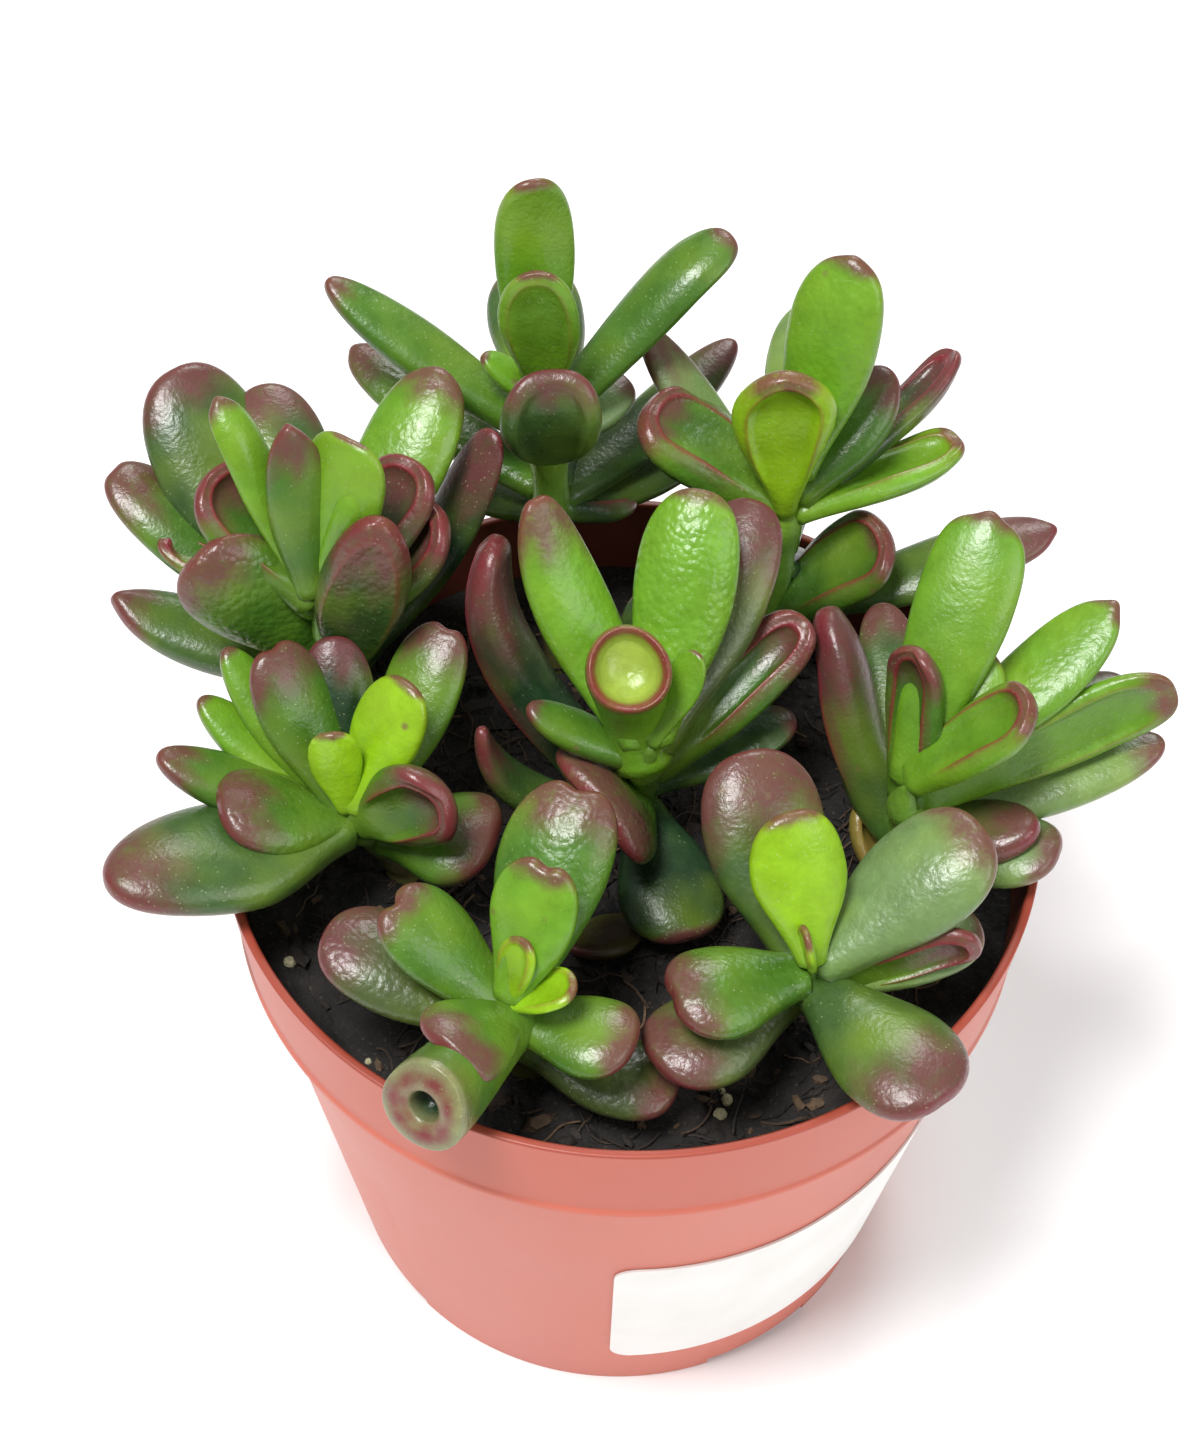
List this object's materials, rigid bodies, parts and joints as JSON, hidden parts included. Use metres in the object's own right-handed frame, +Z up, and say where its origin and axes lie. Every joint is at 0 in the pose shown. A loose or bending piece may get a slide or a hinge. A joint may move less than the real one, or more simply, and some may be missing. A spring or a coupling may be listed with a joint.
{
  "type": "potted hobbit jade",
  "caption": "Small succulent with thick rolled spoon-shaped leaves, several cuttings growing from soil in a tapered round nursery pot with a bare label.",
  "frame": {"origin": "middle of the flat disc under the pot, where the pot rests", "axes": "+Z up, -Y towards the side seen in front, so +X is to that viewer's right"},
  "size_m": [0.1317, 0.1182, 0.143],
  "materials": {
    "pot_plastic": "thin moulded plastic, terracotta colour, soft sheen",
    "soil": "dark fibrous potting mix, rough",
    "label": "plain white paper label, nothing printed on it",
    "leaf": "waxy succulent leaf, green with red margins and tips"
  },
  "bodies": {
    "root": {"pot": "pot_plastic", "soil": "soil", "label": "label", "shoot_back": "leaf", "shoot_back_right": "leaf", "shoot_right": "leaf", "shoot_centre": "leaf", "shoot_back_left": "leaf", "shoot_left": "leaf", "shoot_front_left": "leaf", "shoot_front_right": "leaf"}
  },
  "joints": []
}
